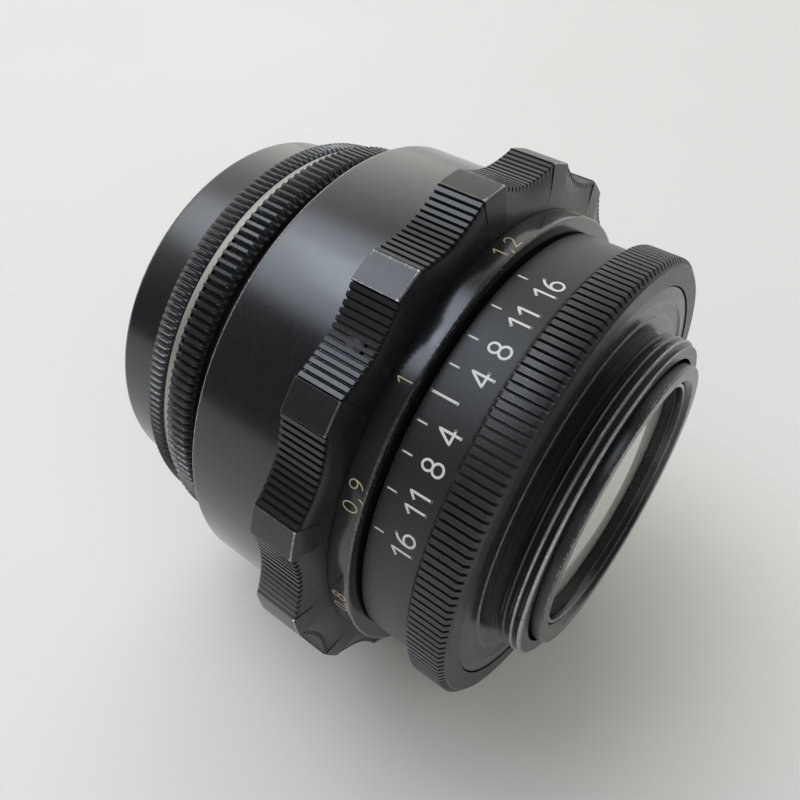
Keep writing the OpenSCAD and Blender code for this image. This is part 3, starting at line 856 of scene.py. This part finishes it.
def make_depth_scale():
    """White depth of field numbers on the fixed ring, on each side of the index line."""
    middle = math.radians(126)
    marks = [("16", -32), ("11", -22), ("8", -13.5), ("4", -6.5), ("4", 6.5), ("8", 13.5), ("11", 22),
             ("16", 32)]
    for i, (label, offset) in enumerate(marks):
        engrave(f"depth_{i}", label, middle + math.radians(offset), FIXED_Y0 + 1.1, 2.6, FIXED_R - 0.02,
                0.42, "white", "mount_body")
        engrave(f"depth_tick_{i}", "|", middle + math.radians(offset), FIXED_Y1 - 1.6, 1.0, FIXED_R - 0.02,
                0.30, "white", "mount_body")
    engrave("depth_index", "|", middle, FIXED_Y0 + 3.2, 2.9, FIXED_R - 0.02, 0.42, "white", "mount_body")


# ---------------------------------------------------------------- solids that stay

NODE_MATERIALS = {
    "helicoid_brass": "brass",
    "bare_alloy": "alloy",
    "dark_alloy": "dark",
    "screw_steel": "steel",
    "blade_steel": "blade",
    "coated_glass": "glass",
    "black_gloss": "gloss",
    "black_satin": "matt",
}


def dress_solids():
    slots = {row["node"]: row["material_slot"] for row in frame["record"]["subparts"]}
    for node, piece in frame["nodes"].items():
        mat = MAT[NODE_MATERIALS[slots[node]]]
        piece.data.materials.clear()
        piece.data.materials.append(mat)


# ---------------------------------------------------------------- light, floor and camera

def make_floor():
    """Pale, slightly cloudy table top just under the lens."""
    n = Nodes("table_top")
    cloud = n.noise(7, 4)
    n.link(n.mix(n.ramp(cloud, [(0.35, 0.0), (0.7, 1.0)]), (0.70, 0.69, 0.655), (0.76, 0.755, 0.725)),
           n.bsdf.inputs["Base Color"])
    n.bsdf.inputs["Roughness"].default_value = 0.55
    n.bump(n.noise(260, 3), 0.08, 0.0003)
    mesh = bpy.data.meshes.new("table")
    grid = bmesh.new()
    bmesh.ops.create_grid(grid, x_segments=8, y_segments=8, size=1.6)
    grid.to_mesh(mesh)
    grid.free()
    mesh.materials.append(n.mat)
    table = bpy.data.objects.new("table", mesh)
    table.location = (0, 0, cad_box[0][2] - 0.0002)
    bpy.context.scene.collection.objects.link(table)


def make_world():
    """A dim room with a window overhead and pale walls; the camera sees a plain pale backdrop."""
    world = bpy.data.worlds.new("room")
    bpy.context.scene.world = world
    world.use_nodes = True
    tree = world.node_tree
    back = tree.nodes["Background"]
    place = tree.nodes.new("ShaderNodeTexCoord").outputs["Generated"]

    def glow(direction, edge, full, colour, base):
        """Adds light round a direction, fading from full to nothing between two cosines."""
        dot = tree.nodes.new("ShaderNodeVectorMath")
        dot.operation = "DOT_PRODUCT"
        tree.links.new(place, dot.inputs[0])
        dot.inputs[1].default_value = Vector(direction).normalized()
        span = tree.nodes.new("ShaderNodeMapRange")
        span.interpolation_type = "SMOOTHSTEP"
        span.inputs["From Min"].default_value = edge
        span.inputs["From Max"].default_value = full
        tree.links.new(dot.outputs["Value"], span.inputs["Value"])
        tint = tree.nodes.new("ShaderNodeMix")
        tint.data_type = "RGBA"
        tint.blend_type = "ADD"
        tree.links.new(span.outputs[0], tint.inputs[0])
        if isinstance(base, tuple):
            tint.inputs[6].default_value = (*base, 1)
        else:
            tree.links.new(base, tint.inputs[6])
        tint.inputs[7].default_value = (*colour, 1)
        return tint.outputs[2]

    light = glow((-0.12, 0.47, 0.88), 0.90, 0.975, (2.2, 2.45, 2.8), (0.10, 0.10, 0.105))
    light = glow((0.25, 0.93, 0.25), 0.55, 0.95, (1.05, 1.05, 1.0), light)
    light = glow((0.95, 0.15, 0.30), 0.60, 0.98, (0.8, 0.79, 0.74), light)
    light = glow((-0.95, -0.1, 0.30), 0.80, 0.99, (0.30, 0.31, 0.33), light)
    path = tree.nodes.new("ShaderNodeLightPath")
    seen = tree.nodes.new("ShaderNodeMix")
    seen.data_type = "RGBA"
    tree.links.new(path.outputs["Is Camera Ray"], seen.inputs[0])
    tree.links.new(light, seen.inputs[6])
    seen.inputs[7].default_value = (0.72, 0.73, 0.71, 1)
    tree.links.new(seen.outputs[2], back.inputs["Color"])
    back.inputs["Strength"].default_value = 1.0


def area(name, place, target, size, power, colour, mirrored):
    lamp = bpy.data.lights.new(name, "AREA")
    lamp.shape = "RECTANGLE"
    lamp.size, lamp.size_y = size
    lamp.energy = power
    lamp.color = colour
    piece = bpy.data.objects.new(name, lamp)
    piece.location = place
    piece.visible_glossy = mirrored
    piece.rotation_euler = (Vector(target) - Vector(place)).to_track_quat("-Z", "Y").to_euler()
    bpy.context.scene.collection.objects.link(piece)


def make_lights():
    """Three wide lamps left out of reflections, and a small cool window that shows in them."""
    middle = (0, 0.025, 0)
    area("fill", (0.55, 0.60, 1.15), middle, (1.3, 1.3), 6.3, (1.0, 0.99, 0.95), False)
    area("fill_left", (-0.75, 0.25, 0.9), middle, (0.9, 0.9), 1.8, (0.98, 0.98, 0.97), False)
    area("fill_back", (-0.35, -0.85, 1.05), middle, (1.0, 1.0), 4.4, (1.0, 0.99, 0.95), False)
    area("window", (-0.12, 0.55, 0.90), middle, (0.30, 0.20), 0.5, (0.82, 0.90, 1.0), True)


def make_camera():
    """Camera over the rear left of the lens, looking forward and down."""
    look = Vector((0.5455, 0.4286, -0.7199)).normalized()
    up = Vector((0.5689, 0.4418, 0.6940))
    right = look.cross(up).normalized()
    up = right.cross(look)
    camera = bpy.data.cameras.new("camera")
    camera.sensor_width = 36
    camera.lens = camera.sensor_width * 0.982
    camera.clip_start = 0.005
    piece = bpy.data.objects.new("camera", camera)
    turn = Matrix((right, up, -look)).transposed().to_4x4()
    piece.matrix_world = Matrix.Translation((-0.0603, -0.0190, 0.0766)) @ turn
    bpy.context.scene.collection.objects.link(piece)
    bpy.context.scene.camera = piece


def main():
    dress_solids()
    make_bezel()
    make_front_name_ring()
    make_preset_ring()
    make_aperture_ring()
    make_sleeve()
    make_fixed_ring()
    make_scale_ring()
    make_mount_ring()
    make_grip_ring()
    make_grip_screws()
    make_mount_thread()
    make_rear_barrel()
    make_rear_retainer()
    make_glass("rear_glass_lens", "rear_glass", 1.3, 2.2, "rear_glass")
    make_glass("front_glass_lens", "front_glass", -0.6, 2.8, "glass")
    make_numbers()
    make_depth_scale()
    make_floor()
    make_world()
    make_lights()
    make_camera()


main()
bpy.context.scene.view_settings.view_transform = "Standard"
